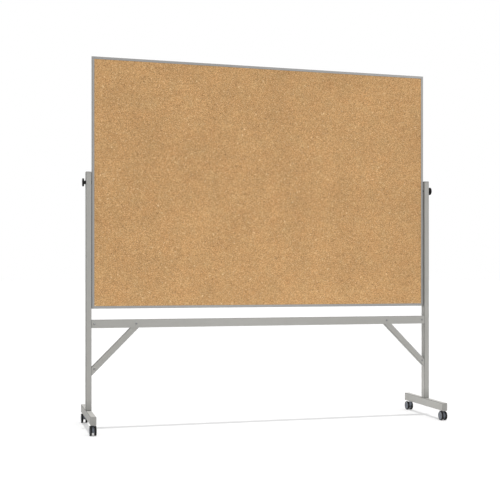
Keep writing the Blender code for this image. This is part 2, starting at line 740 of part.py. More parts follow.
def axle(name, x, axle_y, swivel):
    half = HOOD_WIDTH / 2 + WHEEL_PLAY + TYRE_WIDTH - HUB_FACE_THICKNESS - AXLE_END_GAP
    profile = [(0, half), (AXLE_RADIUS, half), (AXLE_RADIUS, -half), (0, -half)]
    piece = finished(name + "_axle", turned_mesh(profile, SMALL_TURNED_STEPS), STEEL)
    put(piece, (x, axle_y, WHEEL_RADIUS), (0, QUARTER_TURN, 0), swivel)


def hub_mesh():
    """A wheel's body from its inner face at zero height, with a cap, dish and rim, and a blind bore."""
    radius = WHEEL_RADIUS - TYRE_THICKNESS - SEAT_GAP
    bore = AXLE_RADIUS + WHEEL_PLAY
    bore_depth = TYRE_WIDTH - HUB_FACE_THICKNESS
    dish = TYRE_WIDTH - HUB_DISH_DEPTH
    rim_inner = radius - HUB_RIM_WIDTH
    profile = crown(HUB_CAP_RADIUS, dish, HUB_CAP_RISE + HUB_DISH_DEPTH)
    profile += [(rim_inner - HUB_SLOPE_WIDTH, dish), (rim_inner, TYRE_WIDTH + HUB_RIM_RISE)]
    profile += [(radius, TYRE_WIDTH), (radius, 0), (bore, 0), (bore, bore_depth), (0, bore_depth)]
    return turned_mesh(profile, WHEEL_STEPS)


def tyre_mesh():
    """A ring round the hub with rounded shoulders."""
    inner = WHEEL_RADIUS - TYRE_THICKNESS
    edge = WHEEL_RADIUS - TYRE_SHOULDER_RADIUS
    shoulder = TYRE_SHOULDER_RADIUS
    profile = [(inner, TYRE_WIDTH)]
    profile += arc((edge, TYRE_WIDTH - shoulder), shoulder, QUARTER_TURN, 0, CORNER_STEPS - 1)
    profile += arc((edge, shoulder), shoulder, 0, -QUARTER_TURN, CORNER_STEPS - 1)
    profile.append((inner, 0))
    return turned_mesh(profile, WHEEL_STEPS, closed=True)


def wheel(name, x, axle_y, direction, swivel):
    """A hub and its tyre on one side of the hood; direction is along X, away from the hood."""
    place = (x + direction * (HOOD_WIDTH / 2 + WHEEL_PLAY), axle_y, WHEEL_RADIUS)
    turn = (0, direction * QUARTER_TURN, 0)
    put(finished(name + "_hub", hub_mesh(), BLUE_GREY_PLASTIC), place, turn, swivel)
    put(finished(name + "_tyre", tyre_mesh(), TYRE_BLACK), place, turn, swivel)


def caster(side_name, side, end_name, end):
    """A caster whose wheels trail towards the foot's end."""
    name = side_name + "_" + end_name
    x = side * POST_CENTRE
    y = end * (FOOT_LENGTH / 2 - CASTER_END_DISTANCE)
    axle_y = y + end * CASTER_TRAIL
    swivel = pivot(name + "_swivel", (x, y, FOOT_BOTTOM))
    stem(name, x, y)
    hood(name, x, y, end, swivel)
    axle(name, x, axle_y, swivel)
    wheel(name + "_outer", x, axle_y, side, swivel)
    wheel(name + "_inner", x, axle_y, -side, swivel)


panel()
stand()
for caster_side_name, caster_side in SIDES.items():
    for caster_end_name, caster_end in ENDS.items():
        caster(caster_side_name, caster_side, caster_end_name, caster_end)
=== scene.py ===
# %% [markdown]
# # A reversible cork board on a rolling stand
#
# The board is a wide cork panel in a thin aluminium frame. It hangs on a pivot between two posts, so that
# it can be turned over, and it rolls on four twin-wheel casters.
#
# The solids come from the CAD model, in metres, with +Z up and the front towards -Y. This lesson dresses
# them: it lights the board, gives every part its finish, and models the small round parts again with more
# detail.

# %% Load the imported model
import math

import bmesh
import bpy
from mathutils import Matrix, Vector


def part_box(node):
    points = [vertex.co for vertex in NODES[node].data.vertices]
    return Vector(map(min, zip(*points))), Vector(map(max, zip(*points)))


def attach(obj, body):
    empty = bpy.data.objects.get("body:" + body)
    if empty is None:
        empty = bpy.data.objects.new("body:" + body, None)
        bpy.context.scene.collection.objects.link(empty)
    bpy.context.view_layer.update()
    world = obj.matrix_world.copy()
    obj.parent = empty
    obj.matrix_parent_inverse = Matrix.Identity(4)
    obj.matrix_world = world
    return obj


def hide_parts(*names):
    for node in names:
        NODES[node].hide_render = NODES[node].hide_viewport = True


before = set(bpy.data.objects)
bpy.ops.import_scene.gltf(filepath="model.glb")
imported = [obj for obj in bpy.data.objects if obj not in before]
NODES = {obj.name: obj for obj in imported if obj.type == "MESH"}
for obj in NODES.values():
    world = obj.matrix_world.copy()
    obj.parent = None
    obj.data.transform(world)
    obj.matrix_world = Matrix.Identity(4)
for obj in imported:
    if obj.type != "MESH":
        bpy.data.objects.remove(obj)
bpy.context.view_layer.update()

SIDES = {"left": -1, "right": 1}
ENDS = {"front": -1, "rear": 1}
QUARTER_TURN = math.radians(90)
HALF_TURN = math.radians(180)
FULL_TURN = math.radians(360)

# %% [markdown]
# ## Camera
#
# The board is seen from a little to the left, at about the height of its crossbar. The camera is level,
# so that the posts stay upright in the picture, and a small vertical shift brings the top of the panel
# into view. Tilting the camera up would do that too, but then the posts would lean together. The Standard
# view transform shows a colour as it is written, and a product picture wants that more than a film look.

# %% Place the camera
CAMERA_PLACE = (-1.398, -4.736, 0.759)
CAMERA_TURN = math.radians(-15.529)
CAMERA_LENS = 68.076
CAMERA_SHIFT = 0.0521


def place_camera():
    data = bpy.data.cameras.new("camera")
    data.lens = CAMERA_LENS
    data.shift_y = CAMERA_SHIFT
    camera = bpy.data.objects.new("camera", data)
    camera.location = CAMERA_PLACE
    camera.rotation_euler = (QUARTER_TURN, 0, CAMERA_TURN)
    bpy.context.scene.collection.objects.link(camera)
    bpy.context.scene.camera = camera
    bpy.context.scene.view_settings.view_transform = "Standard"
    return camera


print("camera at", tuple(place_camera().location))

# %% [markdown]
# ## A short way to write a finish
#
# A material is a tree of nodes. Written one by one, the nodes of a simple sum take many lines. Here a
# small class wraps the socket that a number comes out of, so that `1 - mask` or `grain * 0.3` adds the
# Math node by itself. Every other node comes from one method. It takes the node's type, its settings, and
# what goes into its sockets.

# %% Sums and products of sockets
def math_node(operation, turned_round=False):
    """A method that adds a Math node, with its two inputs changed round for the reflected form."""

    def method(signal, other):
        pair = (other, signal) if turned_round else (signal, other)
        return signal.recipe.add("Math", {"operation": operation}, {0: pair[0], 1: pair[1]})

    return method


class Signal:
    """A socket whose value varies over a surface."""

    def __init__(self, recipe, socket):
        self.recipe = recipe
        self.socket = socket

    __add__ = math_node("ADD")
    __radd__ = math_node("ADD", turned_round=True)
    __sub__ = math_node("SUBTRACT")
    __rsub__ = math_node("SUBTRACT", turned_round=True)
    __mul__ = math_node("MULTIPLY")
    __rmul__ = math_node("MULTIPLY", turned_round=True)
    __gt__ = math_node("GREATER_THAN")
    __lt__ = math_node("LESS_THAN")
    __or__ = math_node("MAXIMUM")


# %% One method for every node
class Recipe:
    """A tree of nodes under construction."""

    def __init__(self, tree):
        self.tree = tree

    def feed(self, node, inputs):
        for key, value in inputs.items():
            if isinstance(value, Signal):
                self.tree.links.new(value.socket, node.inputs[key])
            else:
                node.inputs[key].default_value = value

    def add(self, kind, settings=None, inputs=None, output=0):
        node = self.tree.nodes.new("ShaderNode" + kind)
        for name, value in (settings or {}).items():
            if name == "stops":
                self.set_stops(node.color_ramp, value)
            else:
                setattr(node, name, value)
        self.feed(node, inputs or {})
        return Signal(self, node.outputs[output])

    def set_stops(self, ramp, stops):
        while len(ramp.elements) < len(stops):
            ramp.elements.new(1)
        for element, (position, colour) in zip(ramp.elements, stops):
            element.position = position
            element.color = colour


# %% [markdown]
# ## Light
#
# A product picture like this one is lit by an even white room. A faint, almost vertical sun draws the
# thin shadow lines under the panel, the crossbar and the feet. The world gives the room. It is plain
# white for the camera and for reflections, and a little weaker, with a brighter front, where it lights
# the surfaces.

# %% The white room
WHITE = (1, 1, 1, 1)
ROOM_LIGHT = 0.61
FRONT_LIGHT = 0.53
FRONT_DIRECTION = Vector((0.35, -0.75, 0.80)).normalized()


def seen_directly(recipe):
    """One for what the camera sees, also in glossy or clear surfaces, and zero for lighting."""
    camera_ray = recipe.add("LightPath", output="Is Camera Ray")
    glossy_ray = recipe.add("LightPath", output="Is Glossy Ray")
    clear_ray = recipe.add("LightPath", output="Is Transmission Ray")
    return camera_ray | glossy_ray | clear_ray


def light_room():
    world = bpy.data.worlds.new("white_room")
    world.use_nodes = True
    bpy.context.scene.world = world
    recipe = Recipe(world.node_tree)
    background = world.node_tree.nodes["Background"]
    direction = recipe.add("TexCoord", output="Generated")
    towards_front = recipe.add(
        "VectorMath", {"operation": "DOT_PRODUCT"}, {0: direction, 1: FRONT_DIRECTION}, output="Value"
    )
    lighting = ROOM_LIGHT + FRONT_LIGHT * (towards_front | 0.0)
    direct = seen_directly(recipe)
    recipe.feed(background, {"Color": WHITE, "Strength": lighting * (1 - direct) + direct})


light_room()
print("room light", ROOM_LIGHT, "with", FRONT_LIGHT, "more from the front")

# %% The faint sun
SUN_STRENGTH = 1.80
SUN_ANGLE = math.radians(0.5)
SUN_TILT = math.radians(1.1)


def place_sun():
    data = bpy.data.lights.new("sun", "SUN")
    data.energy = SUN_STRENGTH
    data.angle = SUN_ANGLE
    sun = bpy.data.objects.new("sun", data)
    sun.rotation_euler = (SUN_TILT, 0, 0)
    bpy.context.scene.collection.objects.link(sun)
    return sun


print("sun strength", place_sun().data.energy)

# %% [markdown]
# Three soft lamps help the room. A large one stands at the front right and gives the right side of the
# frame its sheen. A low strip lies between the feet, close to the right one, and lightens that foot's
# inner side. A small fill stands low in front of the middle and lightens the crossbar and the lower edge
# of the cork. All three are hidden from the camera. The two low ones don't light the floor, where they
# would wash the shadows out.

# %% Three soft lamps
LAMPS = {
    "softbox": {"place": (2.9, -3.4, 2.7), "target": (0.9, 0, 1.5), "size": (2.0, 1.6), "power": 11},
    "low_strip": {"place": (0.62, 0, 0.1), "target": (0.92, 0, 0.1), "size": (0.55, 0.12), "power": 0.43},
    "low_fill": {"place": (-0.1, -0.75, 0.3), "target": (-0.1, 0, 0.3), "size": (0.9, 0.3), "power": 0.85},
}
LOW_LAMPS = ("low_strip", "low_fill")


def place_lamp(name, place, target, size, power):
    data = bpy.data.lights.new(name, "AREA")
    data.shape = "RECTANGLE"
    data.size, data.size_y = size
    data.energy = power
    lamp = bpy.data.objects.new(name, data)
    lamp.location = place
    lamp.rotation_euler = (Vector(target) - lamp.location).to_track_quat("-Z", "Y").to_euler()
    lamp.visible_camera = False
    bpy.context.scene.collection.objects.link(lamp)
    return lamp


lamps = {name: place_lamp(name, **settings) for name, settings in LAMPS.items()}
print("lamps:", ", ".join(lamps))

# %% [markdown]
# ## Floor
#
# The floor is pale, and it reaches so far that its edge meets the white of the room. It glows a little
# for the camera alone. That makes it as white as the room, while the sun's shadows still show.

# %% A pale floor
FLOOR_HALF_SIZE = 150
FLOOR_PALE = (0.55, 0.55, 0.55, 1)
FLOOR_GLOW = 0.29


def lay_floor():
    mesh = bpy.data.meshes.new("floor")
    work = bmesh.new()
    bmesh.ops.create_grid(work, x_segments=1, y_segments=1, size=FLOOR_HALF_SIZE)
    work.to_mesh(mesh)
    work.free()
    floor = bpy.data.objects.new("floor", mesh)
    bpy.context.scene.collection.objects.link(floor)
    material = bpy.data.materials.new("pale_floor")
    material.use_nodes = True
    recipe = Recipe(material.node_tree)
    shader = material.node_tree.nodes["Principled BSDF"]
    recipe.feed(shader, {
        "Base Color": FLOOR_PALE,
        "Roughness": 1,
        "Specular IOR Level": 0,
        "Emission Color": WHITE,
        "Emission Strength": seen_directly(recipe) * FLOOR_GLOW,
    })
    mesh.materials.append(material)
    return floor


floor = lay_floor()
print("floor reaches", floor.dimensions.x, "metres")

# %% Keep the low lamps off the floor
def spare(lamp, thing):
    """Lets the lamp light everything but this one thing."""
    group = bpy.data.collections.new("not_lit_by_" + lamp.name)
    group.objects.link(thing)
    group.collection_objects[0].light_linking.link_state = "EXCLUDE"
    lamp.light_linking.receiver_collection = group


for low_lamp in LOW_LAMPS:
    spare(lamps[low_lamp], floor)
    print(low_lamp, "lights everything but the", floor.name)

# %% [markdown]
# ## Finishes
#
# Each finish below is one material. All of them read Object coordinates, which are metres on this board,
# so the size of a grain can be written down as it is measured on the real thing.
#
# Rounded edges get a tone of their own. The pieces that are modelled further down carry a number in each
# corner of their faces that says how much it belongs to a rounded edge. The finishes read it as an
# attribute and break it up with a noise. The paint, the aluminium and the grey caps get darker along their
# edges, which is painted shade for the dark line a rounded edge shows. The dark plastics and the rubber get
# paler there as wear, and the steel as wear with a painted highlight, here more and there less.

# %% What every finish starts with
WEAR_AND_EDGE_SHADING = "wear"
WEAR_AND_SHADE_PATCH = 0.007
WEAR_AND_SHADE_LEAST = 0.45
WEAR_AND_SHADE_SPREAD = 0.9


def grey(level, warmth=0.0):
    """A grey, with less blue and a trace more red where the warmth is above zero."""
    return (level * (1 + warmth / 4), level, level * (1 - warmth), 1)


class Finish(Recipe):
    """A material with a Principled shader."""

    def __init__(self, name):
        self.material = bpy.data.materials.new(name)
        self.material.use_nodes = True
        super().__init__(self.material.node_tree)
        self.shader = self.tree.nodes["Principled BSDF"]

    def place(self, stretch=(1, 1, 1)):
        """The place on the piece in metres. A stretch below one makes a pattern longer that way."""
        spot = self.add("TexCoord", output="Object")
        return self.add("Mapping", inputs={"Vector": spot, "Scale": stretch})

    def noise(self, size, detail=2.0, stretch=(1, 1, 1)):
        """Soft random variation about a half, with patches of the given size."""
        inputs = {"Vector": self.place(stretch), "Scale": 1 / size, "Detail": detail}
        return self.add("TexNoise", inputs=inputs)

    def blend(self, share, first, second):
        """The first colour with the given share of the second one in it."""
        return self.add("Mix", {"data_type": "RGBA"}, {0: share, 6: first, 7: second}, output=2)

    def bump(self, height, depth, strength=1.0):
        """A normal for a surface with this relief, whose height of one stands for the depth in metres."""
        return self.add("Bump", inputs={"Strength": strength, "Distance": depth, "Height": height})

    def wear(self):
        """How much wear or painted edge shading a surface gets: zero on the flats, near one on rounded
        edges, in patches.
        """
        edge = self.add("Attribute", {"attribute_name": WEAR_AND_EDGE_SHADING}, output="Fac")
        return edge * (WEAR_AND_SHADE_LEAST + WEAR_AND_SHADE_SPREAD * self.noise(WEAR_AND_SHADE_PATCH, detail=3.0))

    def scaled(self, colour, factor):
        """The colour made lighter or darker by the factor."""
        return self.add("VectorMath", {"operation": "SCALE"}, {0: colour, "Scale": factor})

    def done(self):
        """Says how many nodes the finish took, and gives its material."""
        print(self.material.name, "takes", len(self.tree.nodes), "nodes")
        return self.material


# %% [markdown]
# ### Satin silver paint
#
# The posts, feet, braces and crossbar are steel tubes with a silver powder coat. Up close it has a fine
# orange peel and tiny bright flakes. One noise gives the peel, a small Voronoi pattern the flakes, and a
# slow noise the slight clouds that no coat is free of. Patterns that are worked out, unlike an image, fit
# a long post and a short foot alike. The paint is darker just above the feet, which is painted shade for
# the joint of post and foot, and darker along rounded edges, which is painted shade too.

# %% Silver paint
PAINT_CLOUD = 0.16
PAINT_PEEL = 0.0016
PEEL_DEPTH = 0.00006
PAINT_FLAKE = 0.0006
FLAKE_SHARE = 0.3
# Painted shade: rounded edges of the coat go towards a near black, for the dark line they show.
PAINT_EDGE_SHADE_SHARE = 0.85
FOOT_LOW, FOOT_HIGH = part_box("left_foot")
# Painted shade: the coat darkens over a few centimetres above the feet, where post and foot meet.
PAINTED_SHADE_LIFT = 0.0002
PAINTED_SHADE_FROM = FOOT_HIGH.z + PAINTED_SHADE_LIFT
PAINTED_SHADE_HEIGHT = 0.06
PAINTED_SHADE_STOPS = [
    (0.00, grey(0.45)), (0.06, grey(0.66)), (0.14, grey(0.76)), (0.50, grey(0.87)), (1.00, WHITE),
]
SILVER_DARK = grey(0.345, 0.055)
SILVER_LIGHT = grey(0.410, 0.055)
SILVER_EDGE_SHADE = grey(0.075, 0.02)


def painted_joint_shade(paint):
    """One away from the feet, and less just above them: painted shade for the joint of post and foot."""
    height = paint.add("SeparateXYZ", inputs={"Vector": paint.place()}, output="Z")
    above = (height - PAINTED_SHADE_FROM) * (1 / PAINTED_SHADE_HEIGHT)
    shade = paint.add("ValToRGB", {"stops": PAINTED_SHADE_STOPS}, {"Fac": above})
    return paint.add("SeparateColor", inputs={"Color": shade}) | (height < PAINTED_SHADE_FROM)


def make_silver_paint():
    paint = Finish("satin_silver_paint")
    clouds = paint.noise(PAINT_CLOUD, detail=3.0)
    peel = paint.noise(PAINT_PEEL, detail=1.0)
    cells = {"Vector": paint.place(), "Scale": 1 / PAINT_FLAKE}
    flakes = paint.add("TexVoronoi", inputs=cells, output="Color")
    flake = paint.add("SeparateColor", inputs={"Color": flakes})
    spread = clouds * (1 - FLAKE_SHARE) + flake * FLAKE_SHARE
    coat = paint.blend(spread, SILVER_DARK, SILVER_LIGHT)
    wear = paint.wear()
    edge_shaded = paint.blend(wear * PAINT_EDGE_SHADE_SHARE, coat, SILVER_EDGE_SHADE)
    paint.feed(paint.shader, {
        "Base Color": paint.scaled(edge_shaded, painted_joint_shade(paint)),
        "Metallic": 0.10,
        "Specular IOR Level": 0.35,
        "Roughness": 0.46 + 0.10 * clouds + 0.06 * flake + 0.10 * wear,
        "Normal": paint.bump(peel, PEEL_DEPTH),
    })
    return paint.done()


SILVER_PAINT = make_silver_paint()

# %% [markdown]
# ### Brushed aluminium
#
# The frame round the cork is drawn aluminium with a satin anodised face. Its grain runs along each bar. An
# anisotropic shader could show that, but its sheen would be lost when the material is baked, so a noise
# that is stretched along the bar draws the grain. Level and upright bars need two materials that differ
# only in the direction of the stretch.

# %% Aluminium with its grain along X or Z
DRAWN_GRAIN = 0.0007
DRAWN_GRAIN_DEPTH = 0.00003
ALUMINIUM_CLOUD = 0.22
GRAIN_SHARE = 0.75
# Painted shade: the bars' rounded edges go darker, for the dark line they show.
ALUMINIUM_EDGE_SHADE_SHARE = 0.60
ALUMINIUM_DARK = grey(0.29, 0.03)
ALUMINIUM_LIGHT = grey(0.39, 0.02)
ALUMINIUM_EDGE_SHADE = grey(0.09, 0.02)
ALUMINIUM_TINT = grey(0.35)
ALONG_X = (0.02, 1, 1)
ALONG_Z = (1, 1, 0.02)


def make_aluminium(name, stretch):
    metal = Finish(name)
    grain = metal.noise(DRAWN_GRAIN, detail=3.0, stretch=stretch)
    clouds = metal.noise(ALUMINIUM_CLOUD)
    spread = grain * GRAIN_SHARE + clouds * (1 - GRAIN_SHARE)
    face = metal.blend(spread, ALUMINIUM_DARK, ALUMINIUM_LIGHT)
    wear = metal.wear()
    metal.feed(metal.shader, {
        "Base Color": metal.blend(wear * ALUMINIUM_EDGE_SHADE_SHARE, face, ALUMINIUM_EDGE_SHADE),
        "Metallic": 0.70,
        "Specular Tint": ALUMINIUM_TINT,
        "Roughness": 0.36 + 0.20 * grain + 0.12 * wear,
        "Normal": metal.bump(grain, DRAWN_GRAIN_DEPTH),
    })
    return metal.done()


ALUMINIUM_LEVEL = make_aluminium("brushed_aluminium_level", ALONG_X)
ALUMINIUM_UPRIGHT = make_aluminium("brushed_aluminium_upright", ALONG_Z)

# %% [markdown]
# ### Cork
#
# Pin boards are faced with cork granules that are pressed into a sheet. The granules are two to four
# millimetres across, most of them tan, some dark with bark and some pale. A Voronoi pattern gives every
# granule its own random number, and a ramp turns the number into a colour. A second, smaller pattern
# fills in the fines. A third, larger one picks out the few chips that catch the eye, pale or as dark as
# bark. The place is pushed about by a noise first, because plain Voronoi cells have edges that are too
# straight. Broad, faint clouds lie over it all, some lighter and some a trace more red or olive, because
# no two handfuls of granules are alike.

# %% Sizes and colours of the cork
GRANULE = 0.0030
FINE_GRANULE = 0.0013
FINE_SHARE = 0.49
CHIP = 0.0062
WARP = 0.0011
WARP_SIZE = 0.0035
PATCH = 0.05
TINT_CLOUD = 0.08
SHADE_CLOUD = 0.25
RELIEF_DEPTH = 0.0006
RELIEF_STRENGTH = 0.6
EDGE_RELIEF = 1.6
GRANULE_RELIEF = 0.25
RELIEF_SCALE = 0.5
CORK_COLOURS = [
    (0.00, (0.11, 0.050, 0.020, 1)),
    (0.05, (0.25, 0.122, 0.048, 1)),
    (0.22, (0.46, 0.252, 0.099, 1)),
    (0.50, (0.605, 0.347, 0.146, 1)),
    (0.80, (0.73, 0.446, 0.200, 1)),
    (0.95, (0.87, 0.586, 0.299, 1)),
    (1.00, (0.97, 0.780, 0.500, 1)),
]
CORK_GAP = (0.27, 0.140, 0.055, 1)
GAP_WIDTH = 0.05
GAP_SHARE = 0.35
PALE_CHIP = (0.95, 0.740, 0.450, 1)
PALE_CHIP_FROM = 0.996
PALE_CHIP_SHARE = 0.55
BARK_CHIP = (0.16, 0.075, 0.030, 1)
BARK_CHIP_BELOW = 0.006
BARK_CHIP_SHARE = 0.50
CHIP_RIM = 0.04
REDDER = (1.05, 0.975, 0.92, 1)
MORE_OLIVE = (0.95, 1.005, 1.02, 1)
DARKEST_SHADE = 0.78
PATCH_SHADE = 0.14
CLOUD_SHADE = 0.30
NOISE_MIDDLE = (0.5, 0.5, 0.5)
print("granules of", GRANULE * 1000, "mm, fines of", FINE_GRANULE * 1000, "mm")


# %% Granules
def warped_place(cork):
    """The place on the sheet, pushed about a little, so that the granules' edges aren't straight."""
    spot = cork.place()
    ripples = {"Vector": spot, "Scale": 1 / WARP_SIZE, "Detail": 1.0}
    push = cork.add("TexNoise", inputs=ripples, output="Color")
    centred = cork.add("VectorMath", {"operation": "SUBTRACT"}, {0: push, 1: NOISE_MIDDLE})
    return cork.add("VectorMath", {"operation": "ADD"}, {0: spot, 1: cork.scaled(centred, 2 * WARP)})


def granule_number(cork, spot, size):
    """A random number for each granule."""
    cell = cork.add("TexVoronoi", inputs={"Vector": spot, "Scale": 1 / size}, output="Color")
    return cork.add("SeparateColor", inputs={"Color": cell})


def granule_edge(cork, spot, size):
    """The distance to the granule's edge, as a share of its size."""
    cells = {"Vector": spot, "Scale": 1 / size}
    return cork.add("TexVoronoi", {"feature": "DISTANCE_TO_EDGE"}, cells, output="Distance")


def granule_colour(cork, number):
    return cork.add("ValToRGB", {"stops": CORK_COLOURS}, {"Fac": number})


def add_chips(cork, spot, colour):
    """Lays the rare large chips over the granules."""
    number = granule_number(cork, spot, CHIP)
    whole = granule_edge(cork, spot, CHIP) > CHIP_RIM
    paled = cork.blend((number > PALE_CHIP_FROM) * whole * PALE_CHIP_SHARE, colour, PALE_CHIP)
    return cork.blend((number < BARK_CHIP_BELOW) * whole * BARK_CHIP_SHARE, paled, BARK_CHIP)


# %% Cork
def add_clouds(cork, colour):
    """Lets the colour drift slowly over the sheet, in hue and in lightness."""
    tint = cork.blend(cork.noise(TINT_CLOUD), REDDER, MORE_OLIVE)
    tinted = cork.add("VectorMath", {"operation": "MULTIPLY"}, {0: colour, 1: tint})
    patches = cork.noise(PATCH, detail=3.0) * PATCH_SHADE
    return cork.scaled(tinted, DARKEST_SHADE + patches + cork.noise(SHADE_CLOUD) * CLOUD_SHADE)


def make_cork():
    cork = Finish("pressed_cork")
    spot = warped_place(cork)
    number = granule_number(cork, spot, GRANULE)
    edge = granule_edge(cork, spot, GRANULE)
    fine_number = granule_number(cork, spot, FINE_GRANULE)
    mixed = cork.blend(FINE_SHARE, granule_colour(cork, number), granule_colour(cork, fine_number))
    parted = cork.blend((edge < GAP_WIDTH) * GAP_SHARE, mixed, CORK_GAP)
    heights = edge * EDGE_RELIEF + fine_number * GRANULE_RELIEF + number * GRANULE_RELIEF
    cork.feed(cork.shader, {
        "Base Color": add_clouds(cork, add_chips(cork, spot, parted)),
        "Roughness": 0.80 + 0.15 * fine_number,
        "Specular IOR Level": 0.25,
        "Normal": cork.bump(heights * RELIEF_SCALE, RELIEF_DEPTH, RELIEF_STRENGTH),
    })
    return cork.done()


CORK = make_cork()

# %% [markdown]
# ### Fibreboard, plastics, rubber and steel
#
# The fibreboard lies hidden between the cork sheets, so its finish is the plainest. The plastics are
# moulded, with the fine spark-eroded grain that the mould leaves. Rubber is duller than plastic, and its
# shoulders are scuffed. The three plastics and the rubber differ only in colours, roughness, shine and
# grain, so one function makes them. The steel parts are zinc plated, with the soft blotches of the bath,
# and the bolts are darker.

# %% Fibreboard
FIBRE = 0.0012
FIBRE_DEPTH = 0.0001
ALONG_BOARD = (0.3, 1, 0.3)
FIBRE_DARK = (0.20, 0.125, 0.070, 1)
FIBRE_LIGHT = (0.38, 0.260, 0.160, 1)


def make_fibreboard():
    board = Finish("fibreboard")
    fibres = board.noise(FIBRE, detail=4.0, stretch=ALONG_BOARD)
    board.feed(board.shader, {
        "Base Color": board.blend(fibres, FIBRE_DARK, FIBRE_LIGHT),
        "Roughness": 0.85 + 0.1 * fibres,
        "Normal": board.bump(fibres, FIBRE_DEPTH),
    })
    return board.done()


FIBREBOARD = make_fibreboard()


# %% Moulded plastics and rubber
MOULDING_CLOUD = 0.012
MOULDING_WEAR_AND_EDGE_SHADE = 0.6
PLASTIC_GRAIN = 0.0007
CASTER_GRAIN = 0.0006
PLASTIC_GRAIN_DEPTH = 0.00004
RUBBER_GRAIN = 0.0009
RUBBER_GRAIN_DEPTH = 0.00006


def make_moulding(name, dark, light, rub_and_edge_shade, roughness, shine, grain_size, grain_depth):
    """A moulded finish between two colours, with a fine grain and a third colour on rounded edges: wear, or
    painted shade where it is darker.
    """
    plastic = Finish(name)
    grain = plastic.noise(grain_size)
    clouds = plastic.noise(MOULDING_CLOUD, detail=3.0)
    skin = plastic.blend(grain * 0.5 + clouds * 0.5, dark, light)
    wear = plastic.wear()
    plastic.feed(plastic.shader, {
        "Base Color": plastic.blend(wear * MOULDING_WEAR_AND_EDGE_SHADE, skin, rub_and_edge_shade),
        "Specular IOR Level": shine,
        "Roughness": roughness + 0.12 * clouds - 0.08 * wear,
        "Normal": plastic.bump(grain, grain_depth),
    })
    return plastic.done()


# The caps' darker third colour is painted shade along their rounded edges.
GREY_PLASTIC = make_moulding(
    "grey_plastic",
    dark=grey(0.28, 0.055),
    light=grey(0.34, 0.055),
    rub_and_edge_shade=grey(0.18, 0.05),
    roughness=0.45,
    shine=0.45,
    grain_size=PLASTIC_GRAIN,
    grain_depth=PLASTIC_GRAIN_DEPTH,
)
BLACK_PLASTIC = make_moulding(
    "black_plastic",
    dark=grey(0.008),
    light=grey(0.015),
    rub_and_edge_shade=grey(0.030),
    roughness=0.46,
    shine=0.12,
    grain_size=PLASTIC_GRAIN,
    grain_depth=PLASTIC_GRAIN_DEPTH,
)
CASTER_PLASTIC = make_moulding(
    "caster_plastic",
    dark=(0.105, 0.117, 0.140, 1),
    light=(0.155, 0.170, 0.198, 1),
    rub_and_edge_shade=(0.200, 0.215, 0.240, 1),
    roughness=0.38,
    shine=0.35,
    grain_size=CASTER_GRAIN,
    grain_depth=PLASTIC_GRAIN_DEPTH,
)
TYRE_RUBBER = make_moulding(
    "tyre_rubber",
    dark=grey(0.008),
    light=grey(0.016),
    rub_and_edge_shade=grey(0.050, 0.02),
    roughness=0.62,
    shine=0.15,
    grain_size=RUBBER_GRAIN,
    grain_depth=RUBBER_GRAIN_DEPTH,
)


# %% Zinc plated steel and dark bolts
PLATE_BLOTCH = 0.004
PLATE_PIT = 0.0005
PIT_DEPTH = 0.00002
STEEL_WEAR_AND_SHEEN = 0.4
# The paler colour on rounded edges is partly wear and partly a painted highlight.
STEEL_RUB_AND_SHEEN = grey(0.60)


def make_steel(name, dark, light):
    steel = Finish(name)
    blotches = steel.noise(PLATE_BLOTCH, detail=3.0)
    pits = steel.noise(PLATE_PIT, detail=1.0)
    plate = steel.blend(blotches, dark, light)
    steel.feed(steel.shader, {
        "Base Color": steel.blend(steel.wear() * STEEL_WEAR_AND_SHEEN, plate, STEEL_RUB_AND_SHEEN),
        "Metallic": 0.9,
        "Roughness": 0.28 + 0.22 * blotches,
        "Normal": steel.bump(pits, PIT_DEPTH),
    })
    return steel.done()


ZINC_STEEL = make_steel("zinc_steel", grey(0.40), grey(0.52))
BOLT_STEEL = make_steel("bolt_steel", grey(0.17), grey(0.26))

# %% [markdown]
# ## Small round parts
#
# The knobs, wheels, stems and bolt heads are turned shapes. The CAD solids keep few facets, so that they
# stay light to simulate. For a picture they are made again with many more, by spinning a profile round an
# axis.
#
# A profile is a list of radius and height. It is spun about Z, its sharp edges are rounded with a bevel,
# and the finished mesh is turned and moved to its place. The object itself stays at the origin, as a CAD
# node's does.

# %% Turned shapes
ROUND_STEPS = 48
FINE_ROUND_STEPS = 96
MERGE_DISTANCE = 0.00001


def turned(profile, steps, closed=False):
    """A shape made by spinning a profile about Z. A closed profile gives a ring."""
    work = bmesh.new()
    points = [work.verts.new((radius, 0, height)) for radius, height in profile]
    edges = [work.edges.new(pair) for pair in zip(points, points[1:])]
    if closed:
        edges.append(work.edges.new((points[-1], points[0])))
    bmesh.ops.spin(
        work,
        geom=points + edges,
        cent=(0, 0, 0),
        axis=(0, 0, 1),
        angle=FULL_TURN,
        steps=steps,
        use_merge=True,
    )
    bmesh.ops.remove_doubles(work, verts=work.verts, dist=MERGE_DISTANCE)
    bmesh.ops.recalc_face_normals(work, faces=work.faces)
    return work


# %% Rounded edges
SHARP_ANGLE = math.radians(32)
RIM_SHARE = 0.99


def soften(work, width, segments, chosen):
    """Rounds the edges that are sharp and that the given test chooses."""
    edges = []
    for edge in work.edges:
        if edge.is_manifold and edge.calc_face_angle() > SHARP_ANGLE and chosen(edge):
            edges.append(edge)
    bmesh.ops.bevel(
        work, geom=edges, offset=width, segments=segments, profile=0.5, affect="EDGES", material=-1
    )


def any_edge(edge):
    return True


def middle(edge):
    return (edge.verts[0].co + edge.verts[1].co) / 2


def on_rim(radius):
    """A test for the edges on the rim of a turned shape with this radius."""
    return lambda edge: middle(edge).xy.length > radius * RIM_SHARE


# %% Where edges wear and are shaded
NARROW = 0.00125
WEAR_AND_SHADE_FROM = math.radians(8)
WEAR_AND_SHADE_FULL = math.radians(15)


